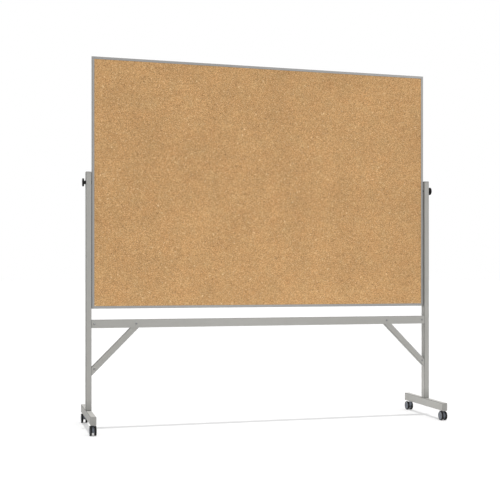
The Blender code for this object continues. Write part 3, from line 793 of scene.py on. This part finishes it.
def is_narrow(face):
    """True for the thin strips that make up a rounded edge."""
    return face.calc_area() < NARROW * max(edge.calc_length() for edge in face.edges)


def wear_and_edge_shading_at(vertex, narrow):
    """How sharply the surface bends outwards over the strips that meet in a vertex, from zero to one."""
    bends = [0.0]
    for edge in vertex.link_edges:
        if len(edge.link_faces) == 2 and narrow.issuperset(edge.link_faces):
            bends.append(edge.calc_face_angle_signed(0.0))
    return min(max((max(bends) - WEAR_AND_SHADE_FROM) / (WEAR_AND_SHADE_FULL - WEAR_AND_SHADE_FROM), 0), 1)


def mark_wear_and_edge_shading(work):
    """Writes the edge wear and painted shading into the corners of the narrow faces. The wide faces stay at
    zero.
    """
    layer = work.loops.layers.float.new(WEAR_AND_EDGE_SHADING)
    narrow = {face for face in work.faces if is_narrow(face)}
    for face in narrow:
        for loop in face.loops:
            loop[layer] = wear_and_edge_shading_at(loop.vert, narrow)


# %% Making a piece
def new_piece(name, work, place, material, body, slot, node=None):
    """Makes an object from a bmesh that is moved by the place matrix, and declares what it rides on."""
    mark_wear_and_edge_shading(work)
    bmesh.ops.transform(work, matrix=place, verts=work.verts)
    mesh = bpy.data.meshes.new(name)
    work.to_mesh(mesh)
    work.free()
    mesh.shade_smooth()
    mesh.set_sharp_from_angle(angle=SHARP_ANGLE)
    mesh.materials.append(material)
    piece = bpy.data.objects.new(name, mesh)
    bpy.context.scene.collection.objects.link(piece)
    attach(piece, body)
    if node:
        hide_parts(node)
    return piece


def node_centre(node):
    low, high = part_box(node)
    return (low + high) / 2


def facing(direction):
    """A turn that brings +Z to plus or minus X."""
    return Matrix.Rotation(direction * QUARTER_TURN, 4, "Y")


# %% [markdown]
# ### Hand knobs
#
# A black knob on each side clamps the panel. It has a neck against the post and a flat disc with a fluted
# rim to grip. The flutes are made from the spun shape: of every three columns of vertices on the rim, one
# is drawn in. That takes a single scale, where cutting each flute would take a Boolean.

# %% Knobs
KNOB_NECK_RADIUS = 0.009
KNOB_NECK_LENGTH = 0.0083
FLARE_RADIUS = 0.011
FLARE_FROM = 0.0075
KNOB_RADIUS = 0.0202
KNOB_DISC_TOP = 0.0160
KNOB_CROWN_TOP = 0.0165
KNOB_RING_GROOVE = 0.01585
KNOB_ROUNDING = 0.0011
COLUMNS_PER_FLUTE = 3
FLUTE_SHARE = 0.975
FLUTED_FROM = 0.93
KNOB_CROWN = [(0, KNOB_CROWN_TOP), (0.0035, 0.01648), (0.0070, 0.01640), (0.0082, 0.01630)]
KNOB_RING = [(0.0086, KNOB_RING_GROOVE), (0.0094, KNOB_RING_GROOVE), (0.0098, 0.01625), (0.0130, 0.01618)]
KNOB_DISC = [(KNOB_RADIUS, KNOB_DISC_TOP), (KNOB_RADIUS, KNOB_NECK_LENGTH)]
KNOB_NECK = [
    (FLARE_RADIUS, KNOB_NECK_LENGTH), (KNOB_NECK_RADIUS, FLARE_FROM), (KNOB_NECK_RADIUS, 0), (0, 0),
]


def knob_shape():
    work = turned(KNOB_CROWN + KNOB_RING + KNOB_DISC + KNOB_NECK, FINE_ROUND_STEPS)
    soften(work, KNOB_ROUNDING, segments=4, chosen=on_rim(KNOB_RADIUS))
    drawn_in = []
    for vertex in work.verts:
        column = round(math.atan2(vertex.co.y, vertex.co.x) / FULL_TURN * FINE_ROUND_STEPS)
        if vertex.co.xy.length > KNOB_RADIUS * FLUTED_FROM and column % COLUMNS_PER_FLUTE == 0:
            drawn_in.append(vertex)
    bmesh.ops.scale(work, vec=(FLUTE_SHARE, FLUTE_SHARE, 1), verts=drawn_in)
    return work


def make_knobs():
    for side_name, side in SIDES.items():
        node = side_name + "_knob"
        low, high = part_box(node)
        inner_face = low.x if side > 0 else high.x
        place = Matrix.Translation((inner_face, 0, node_centre(node).z)) @ facing(side)
        knob = (side_name + "_hand_knob", knob_shape(), place, BLACK_PLASTIC)
        piece = new_piece(*knob, node, "black_plastic", node)
        print(piece.name, len(piece.data.polygons), "faces")


make_knobs()

# %% [markdown]
# ### Wheels
#
# Each caster has two wheels with a moulded hub and a black tyre. The hub's face has a raised cap over the
# axle, a shallow dish and a rim. The tyre is a ring with round shoulders and the thin line that its mould
# leaves in the middle of the tread. Both are spun, because every ring that shows on them is then one more
# point of the profile.

# %% Hubs
TYRE_WIDTH = 0.0095
HUB_RADIUS = 0.0193
HUB_ROUNDING = 0.0003
AXLE_BORE_RADIUS = 0.003
AXLE_BORE_DEPTH = 0.0075
DISH_FLOOR = 0.0089
HUB_CAP = [(0, 0.01100), (0.0022, 0.01096), (0.0044, 0.01070), (0.0056, 0.01030), (0.0065, 0.00930)]
HUB_DISH = [(0.0069, DISH_FLOOR), (0.0131, DISH_FLOOR), (0.0142, 0.00905), (0.0150, 0.00980)]
HUB_RIM = [(0.0158, 0.01030), (0.0167, 0.01025), (HUB_RADIUS, TYRE_WIDTH), (HUB_RADIUS, 0)]
HUB_BORE = [(AXLE_BORE_RADIUS, 0), (AXLE_BORE_RADIUS, AXLE_BORE_DEPTH), (0, AXLE_BORE_DEPTH)]


def hub_shape():
    work = turned(HUB_CAP + HUB_DISH + HUB_RIM + HUB_BORE, FINE_ROUND_STEPS)
    soften(work, HUB_ROUNDING, segments=2, chosen=on_rim(HUB_RADIUS))
    return work


# %% Tyres
WHEEL_RADIUS = 0.0236
TREAD_RADIUS = 0.0235
TYRE_INNER_RADIUS = 0.0196
SHOULDER = 0.0018
SEAM_HALF_WIDTH = 0.00025
SHOULDER_STEPS = 6


def quarter_round(centre_radius, centre_height, start):
    """Points of a round shoulder, a quarter turn clockwise from the start angle."""
    points = []
    for step in range(SHOULDER_STEPS + 1):
        angle = start - QUARTER_TURN * step / SHOULDER_STEPS
        radius = centre_radius + SHOULDER * math.cos(angle)
        points.append((radius, centre_height + SHOULDER * math.sin(angle)))
    return points


def tyre_shape():
    middle_of_tread = TYRE_WIDTH / 2
    shoulder_centre = TREAD_RADIUS - SHOULDER
    profile = [(TYRE_INNER_RADIUS, TYRE_WIDTH)]
    profile += quarter_round(shoulder_centre, TYRE_WIDTH - SHOULDER, QUARTER_TURN)
    profile.append((TREAD_RADIUS, middle_of_tread + SEAM_HALF_WIDTH))
    profile.append((WHEEL_RADIUS, middle_of_tread))
    profile.append((TREAD_RADIUS, middle_of_tread - SEAM_HALF_WIDTH))
    profile += quarter_round(shoulder_centre, SHOULDER, 0)
    profile.append((TYRE_INNER_RADIUS, 0))
    return turned(profile, FINE_ROUND_STEPS, closed=True)


# %% Wheels in their places
CASTERS = {side_name + "_" + end_name: side for side_name, side in SIDES.items() for end_name in ENDS}


def make_wheel(wheel, direction):
    """One wheel, with the face of its hub towards plus or minus X."""
    low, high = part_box(wheel + "_tyre")
    centre = (low + high) / 2
    inner_face = low.x if direction > 0 else high.x
    place = Matrix.Translation((inner_face, centre.y, centre.z)) @ facing(direction)
    body = wheel + "_wheel"
    hub = (wheel + "_round_hub", hub_shape(), place, CASTER_PLASTIC)
    new_piece(*hub, body, "caster_plastic", wheel + "_hub")
    tyre = (wheel + "_round_tyre", tyre_shape(), place, TYRE_RUBBER)
    return new_piece(*tyre, body, "tyre", wheel + "_tyre")


for caster, side in CASTERS.items():
    outer_tyre = make_wheel(caster + "_outer", side)
    inner_tyre = make_wheel(caster + "_inner", -side)
    faces = len(outer_tyre.data.polygons) + len(inner_tyre.data.polygons)
    print(caster, "tyres have", faces, "faces")

# %% [markdown]
# ### Caster hoods
#
# The moulded hood fills the space between the wheels and swivels on the stem. Its side outline is a short
# shelf under the foot, a straight back, and an arc that follows the wheels. The outline is one face,
# which is extruded across and bevelled. A collar is joined to it, and the bores for the stem and the axle
# are cut out. Booleans do that best, because the collar and the bores cross the slab's faces at odd
# angles.

# %% Joining and cutting
def boolean(first, second, operation):
    """The first closed shape with the second one joined to it or cut out of it."""
    items = []
    for work in (first, second):
        mesh = bpy.data.meshes.new("boolean_operand")
        work.to_mesh(mesh)
        work.free()
        item = bpy.data.objects.new("boolean_operand", mesh)
        bpy.context.scene.collection.objects.link(item)
        items.append(item)
    modifier = items[0].modifiers.new("boolean", "BOOLEAN")
    modifier.operation = operation
    modifier.solver = "EXACT"
    modifier.object = items[1]
    result = bmesh.new()
    result.from_object(items[0], bpy.context.evaluated_depsgraph_get())
    for item in items:
        bpy.data.meshes.remove(item.data)
    bmesh.ops.remove_doubles(result, verts=result.verts, dist=MERGE_DISTANCE)
    return result


def rod(radius, length, place, steps):
    work = bmesh.new()
    bmesh.ops.create_cone(work, cap_ends=True, segments=steps, radius1=radius, radius2=radius, depth=length)
    bmesh.ops.transform(work, matrix=place, verts=work.verts)
    return work


# %% The hood's sizes
HOOD_WIDTH = 0.0115
HOOD_TOP = 0.0238
HOOD_BACK = 0.023
HOOD_BACK_LOW = 0.0033
HOOD_SHOULDER = 0.0085
HOOD_CHIN = (0.013, -0.005)
HOOD_RADIUS = 0.0195
HOOD_ARC_LOW = math.radians(205)
HOOD_ARC_HIGH = math.radians(72)
HOOD_ARC_STEPS = 20
HOOD_ROUNDING = 0.0009
CASTER_TRAIL = 0.0165
COLLAR_RADIUS = 0.008
COLLAR_HEIGHT = 0.0018
STEM_BORE_RADIUS = 0.0043
STEM_BORE_DEPTH = 0.0203
AXLE_HOLE_RADIUS = 0.0028
print("hood", HOOD_WIDTH * 1000, "mm wide, stem", CASTER_TRAIL * 1000, "mm from the axle")


# %% Hoods
def hood_slab():
    """The hood's side outline about the axle, with the stem towards +Y, extruded across."""
    outline = [(HOOD_SHOULDER, HOOD_TOP), (HOOD_BACK, HOOD_TOP), (HOOD_BACK, HOOD_BACK_LOW), HOOD_CHIN]
    for step in range(HOOD_ARC_STEPS + 1):
        angle = HOOD_ARC_LOW + (HOOD_ARC_HIGH - HOOD_ARC_LOW) * step / HOOD_ARC_STEPS
        outline.append((HOOD_RADIUS * math.cos(angle), HOOD_RADIUS * math.sin(angle)))
    work = bmesh.new()
    corners = [work.verts.new((-HOOD_WIDTH / 2, along, height)) for along, height in outline]
    side = work.faces.new(corners)
    swept = bmesh.ops.extrude_face_region(work, geom=[side])["geom"]
    moved = [item for item in swept if isinstance(item, bmesh.types.BMVert)]
    bmesh.ops.translate(work, vec=(HOOD_WIDTH, 0, 0), verts=moved)
    bmesh.ops.recalc_face_normals(work, faces=work.faces)
    soften(work, HOOD_ROUNDING, segments=3, chosen=any_edge)
    return work


def hood_shape():
    collar_place = Matrix.Translation((0, CASTER_TRAIL, HOOD_TOP - COLLAR_HEIGHT / 2))
    collar = rod(COLLAR_RADIUS, COLLAR_HEIGHT, collar_place, ROUND_STEPS)
    work = boolean(hood_slab(), collar, "UNION")
    stem_place = Matrix.Translation((0, CASTER_TRAIL, HOOD_TOP))
    stem_bore = rod(STEM_BORE_RADIUS, 2 * STEM_BORE_DEPTH, stem_place, ROUND_STEPS)
    work = boolean(work, stem_bore, "DIFFERENCE")
    axle_hole = rod(AXLE_HOLE_RADIUS, 2 * HOOD_WIDTH, facing(1), ROUND_STEPS)
    return boolean(work, axle_hole, "DIFFERENCE")


def make_hoods():
    for caster in CASTERS:
        axle = node_centre(caster + "_axle")
        turn = 0 if axle.y < 0 else HALF_TURN
        place = Matrix.Translation(axle) @ Matrix.Rotation(turn, 4, "Z")
        hood = (caster + "_caster_hood", hood_shape(), place, CASTER_PLASTIC)
        piece = new_piece(*hood, caster + "_caster", "caster_plastic", caster + "_hood")
        print(piece.name, len(piece.data.polygons), "faces")


make_hoods()

# %% [markdown]
# ### Stems and bolts
#
# Each caster turns on a plated stem with a flange under the foot. The crossbar and braces are bolted to
# the posts with button-head bolts. Their hexagonal sockets are cut with a six-sided rod.

# %% Stems
STEM_RADIUS = 0.004
STEM_TOP = 0.018
STEM_LOW = -0.0243
STEM_CHAMFER = 0.0005
FLANGE_RADIUS = 0.009
FLANGE_TOP = -0.0003
FLANGE_LOW = -0.0043
FLANGE_CHAMFER = 0.0004
STEM_PROFILE = [
    (0, STEM_TOP),
    (STEM_RADIUS - STEM_CHAMFER, STEM_TOP),
    (STEM_RADIUS, STEM_TOP - STEM_CHAMFER),
    (STEM_RADIUS, FLANGE_TOP),
    (FLANGE_RADIUS - FLANGE_CHAMFER, FLANGE_TOP),
    (FLANGE_RADIUS, FLANGE_TOP - FLANGE_CHAMFER),
    (FLANGE_RADIUS, FLANGE_LOW + FLANGE_CHAMFER),
    (FLANGE_RADIUS - FLANGE_CHAMFER, FLANGE_LOW),
    (STEM_RADIUS, FLANGE_LOW),
    (STEM_RADIUS, STEM_LOW + STEM_CHAMFER),
    (STEM_RADIUS - STEM_CHAMFER, STEM_LOW),
    (0, STEM_LOW),
]


def make_stems():
    for caster in CASTERS:
        centre = node_centre(caster + "_stem")
        place = Matrix.Translation((centre.x, centre.y, FOOT_LOW.z))
        stem = (caster + "_round_stem", turned(STEM_PROFILE, ROUND_STEPS), place, ZINC_STEEL)
        piece = new_piece(*stem, "stand", "steel", caster + "_stem")
        print(piece.name, len(piece.data.polygons), "faces")


make_stems()

# %% Bolts
BOLT_NAMES = ("crossbar_bolt", "brace_top_bolt", "brace_low_bolt")
BOLT_HEAD_HEIGHT = 0.003
BOLT_HEAD_RADIUS = 0.0055
SHANK_RADIUS = 0.0029
SHANK_LENGTH = 0.010
SHANK_CHAMFER = 0.0004
SOCKET_RADIUS = 0.0023
SOCKET_DEPTH = 0.0019
SOCKET_STEPS = 6
BUTTON_HEAD = [
    (0, BOLT_HEAD_HEIGHT), (0.0024, BOLT_HEAD_HEIGHT), (0.0032, 0.00270), (0.0041, 0.00205),
    (0.0048, 0.00140), (0.0053, 0.00075), (BOLT_HEAD_RADIUS, 0.00035), (BOLT_HEAD_RADIUS, 0),
]
SHANK = [
    (SHANK_RADIUS, 0),
    (SHANK_RADIUS, SHANK_CHAMFER - SHANK_LENGTH),
    (SHANK_RADIUS - SHANK_CHAMFER, -SHANK_LENGTH),
    (0, -SHANK_LENGTH),
]
FACING_FRONT = Matrix.Rotation(QUARTER_TURN, 4, "X")


def bolt_shape():
    socket_place = Matrix.Translation((0, 0, BOLT_HEAD_HEIGHT))
    socket = rod(SOCKET_RADIUS, 2 * SOCKET_DEPTH, socket_place, SOCKET_STEPS)
    return boolean(turned(BUTTON_HEAD + SHANK, ROUND_STEPS), socket, "DIFFERENCE")


def make_bolts():
    for side_name in SIDES:
        for name in BOLT_NAMES:
            node = side_name + "_" + name
            low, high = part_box(node)
            centre = (low + high) / 2
            seat = (centre.x, low.y + BOLT_HEAD_HEIGHT, centre.z)
            bolt = (node + "_head", bolt_shape(), Matrix.Translation(seat) @ FACING_FRONT, BOLT_STEEL)
            piece = new_piece(*bolt, "stand", "steel", node)
    print("six bolts, the last with", len(piece.data.polygons), "faces")


make_bolts()

# %% [markdown]
# ### Caps
#
# The open ends of the posts and feet are closed with plastic caps. A cap is a box with its long edges
# rounded like the tube and its outer rim rounded too. Its inner face is inset and drawn out into the plug
# that grips the tube.

# %% Caps
TUBE_CORNER = 0.002
TUBE_WALL_AND_GAP = 0.0018
PLUG_LENGTH = 0.015
CAP_SEGMENTS = 6
POST_CAP_HEIGHT = 0.008
POST_CAP_ROUNDING = 0.0018
FOOT_CAP_THICKNESS = 0.003
FOOT_CAP_ROUNDING = 0.001
FOOT_CAP_OVERHANG = 0.0005


def is_upright(edge):
    return abs(edge.verts[0].co.z - edge.verts[1].co.z) > MERGE_DISTANCE


def cap_shape(width, height, thickness, rounding, overhang=0):
    """A cap whose flange lies on Z = 0 and may stand out past the tube. Its outer face looks towards +Z."""
    work = bmesh.new()
    bmesh.ops.create_cube(work, size=1)
    bmesh.ops.scale(work, vec=(width, height, thickness), verts=work.verts)
    bmesh.ops.translate(work, vec=(0, 0, thickness / 2), verts=work.verts)
    soften(work, TUBE_CORNER, CAP_SEGMENTS, is_upright)
    soften(work, rounding, CAP_SEGMENTS, lambda edge: middle(edge).z > thickness - MERGE_DISTANCE)
    under = min(work.faces, key=lambda face: face.calc_center_median().z)
    inset = TUBE_WALL_AND_GAP + overhang
    bmesh.ops.inset_region(work, faces=[under], thickness=inset, use_even_offset=True)
    plug = bmesh.ops.extrude_discrete_faces(work, faces=[under])["faces"][0]
    bmesh.ops.translate(work, vec=(0, 0, -PLUG_LENGTH), verts=plug.verts)
    return work


# %% Caps in their places
FACING_BACK = Matrix.Rotation(-QUARTER_TURN, 4, "X")


def make_post_cap(node):
    low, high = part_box(node)
    work = cap_shape(high.x - low.x, high.y - low.y, POST_CAP_HEIGHT, POST_CAP_ROUNDING)
    seat = ((low.x + high.x) / 2, (low.y + high.y) / 2, high.z - POST_CAP_HEIGHT)
    cap = (node + "_rounded", work, Matrix.Translation(seat), GREY_PLASTIC)
    return new_piece(*cap, "stand", "grey_plastic", node)


def make_foot_cap(node, end):
    low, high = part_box(node)
    sizes = (high.x - low.x, high.z - low.z, FOOT_CAP_THICKNESS, FOOT_CAP_ROUNDING)
    seat_y = low.y + FOOT_CAP_THICKNESS if end < 0 else high.y - FOOT_CAP_THICKNESS
    seat = ((low.x + high.x) / 2, seat_y, (low.z + high.z) / 2)
    place = Matrix.Translation(seat) @ (FACING_FRONT if end < 0 else FACING_BACK)
    cap = (node + "_rounded", cap_shape(*sizes, FOOT_CAP_OVERHANG), place, GREY_PLASTIC)
    return new_piece(*cap, "stand", "grey_plastic", node)


for side_name in SIDES:
    post_cap = make_post_cap(side_name + "_post_cap")
    for end_name, end in ENDS.items():
        foot_cap = make_foot_cap(side_name + "_foot_" + end_name + "_cap", end)
    print(post_cap.name, len(post_cap.data.polygons), "faces,", foot_cap.name, len(foot_cap.data.polygons))

# %% [markdown]
# ### Tubes and frame bars
#
# The tubes and bars have their real shape already. But a CAD mesh comes as loose triangles, which would
# show the few facets of each round corner. A copy of it is merged, its flat faces are made whole again,
# and its normals are weighted by area. Then the corners shade smoothly and the flat sides stay flat.

# %% Smooth copies of tubes and bars
FLAT_ANGLE = math.radians(0.1)
FRAME_BARS = {
    "frame_top": ALUMINIUM_LEVEL,
    "frame_bottom": ALUMINIUM_LEVEL,
    "frame_left": ALUMINIUM_UPRIGHT,
    "frame_right": ALUMINIUM_UPRIGHT,
}


def smooth_copy(node, name, material, slot, body):
    work = bmesh.new()
    work.from_mesh(NODES[node].data)
    bmesh.ops.remove_doubles(work, verts=work.verts, dist=MERGE_DISTANCE)
    bmesh.ops.dissolve_limit(work, angle_limit=FLAT_ANGLE, verts=work.verts, edges=work.edges)
    piece = new_piece(name, work, Matrix.Identity(4), material, body, slot, node)
    weighted = piece.modifiers.new("flat_sides", "WEIGHTED_NORMAL")
    weighted.keep_sharp = True
    return piece


def copy_tubes_and_bars():
    for side_name in SIDES:
        for kind in ("post", "brace", "foot"):
            node = side_name + "_" + kind
            smooth_copy(node, node + "_tube", SILVER_PAINT, "silver_paint", "stand")
    smooth_copy("crossbar", "crossbar_channel", SILVER_PAINT, "silver_paint", "stand")
    for node, material in FRAME_BARS.items():
        bar = smooth_copy(node, node + "_bar", material, "aluminium", "panel")
        print(bar.name, len(bar.data.polygons), "faces")


copy_tubes_and_bars()

# %% [markdown]
# ### Weld beads
#
# The posts are welded on the feet. In front and behind, a short bead with fine ripples fills the corner
# between them, and the coat covers it. The sides of post and foot are flush, so they have none. Each bead
# is a whole spun shape that lies along the corner, because the part of it inside the metal doesn't show.

# %% Weld beads
BEAD_LENGTH = 0.023
BEAD_RADIUS = 0.0018
BEAD_RIPPLES = 15
RIPPLE_POINTS = 4
RIPPLE_DEPTH = 0.00022
BEAD_STEPS = 24
BEAD_BLUNTNESS = 8


def bead_shape():
    count = BEAD_RIPPLES * RIPPLE_POINTS
    profile = [(0, -BEAD_LENGTH / 2)]
    for step in range(1, count):
        along = 2 * step / count - 1
        ripple = RIPPLE_DEPTH * math.sin(HALF_TURN * step / RIPPLE_POINTS) ** 2
        radius = BEAD_RADIUS * math.sqrt(1 - along ** BEAD_BLUNTNESS) - ripple
        profile.append((radius, along * BEAD_LENGTH / 2))
    profile.append((0, BEAD_LENGTH / 2))
    return turned(profile, BEAD_STEPS)


def make_weld_beads():
    for side_name in SIDES:
        low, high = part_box(side_name + "_post")
        middle_x = node_centre(side_name + "_foot").x
        for end_name, face in (("front", low.y), ("rear", high.y)):
            name = "_".join((side_name, end_name, "weld_bead"))
            place = Matrix.Translation((middle_x, face, FOOT_HIGH.z)) @ facing(1)
            # The bead's ripples are narrow faces, so the paint's painted edge shade darkens them.
            bead = new_piece(name, bead_shape(), place, SILVER_PAINT, "stand", "silver_paint")
            print(bead.name, len(bead.data.polygons), "faces")


make_weld_beads()

# %% [markdown]
# ## Finishes for the parts that keep their CAD shape
#
# The sheets, axles, studs and spacers only need a material in place of the plain one. The end of each
# part's name says which one it gets. The parts that were made again get one as well, because other tools
# may show them.

# %% Give the CAD parts their finishes
FINISH_OF = {
    "cap": GREY_PLASTIC,
    "post": SILVER_PAINT,
    "foot": SILVER_PAINT,
    "brace": SILVER_PAINT,
    "crossbar": SILVER_PAINT,
    **FRAME_BARS,
    "cork_front": CORK,
    "cork_back": CORK,
    "core_board": FIBREBOARD,
    "bolt": BOLT_STEEL,
    "stem": ZINC_STEEL,
    "axle": ZINC_STEEL,
    "stud": ZINC_STEEL,
    "spacer": BLACK_PLASTIC,
    "knob": BLACK_PLASTIC,
    "hood": CASTER_PLASTIC,
    "hub": CASTER_PLASTIC,
    "tyre": TYRE_RUBBER,
}


def finish_of(name):
    for ending, material in FINISH_OF.items():
        if name.endswith(ending):
            return material
    raise ValueError("no finish for " + name)


for node_name, node in NODES.items():
    for material_slot in node.material_slots:
        material_slot.material = finish_of(node_name)
print(len(NODES), "parts have a finish")
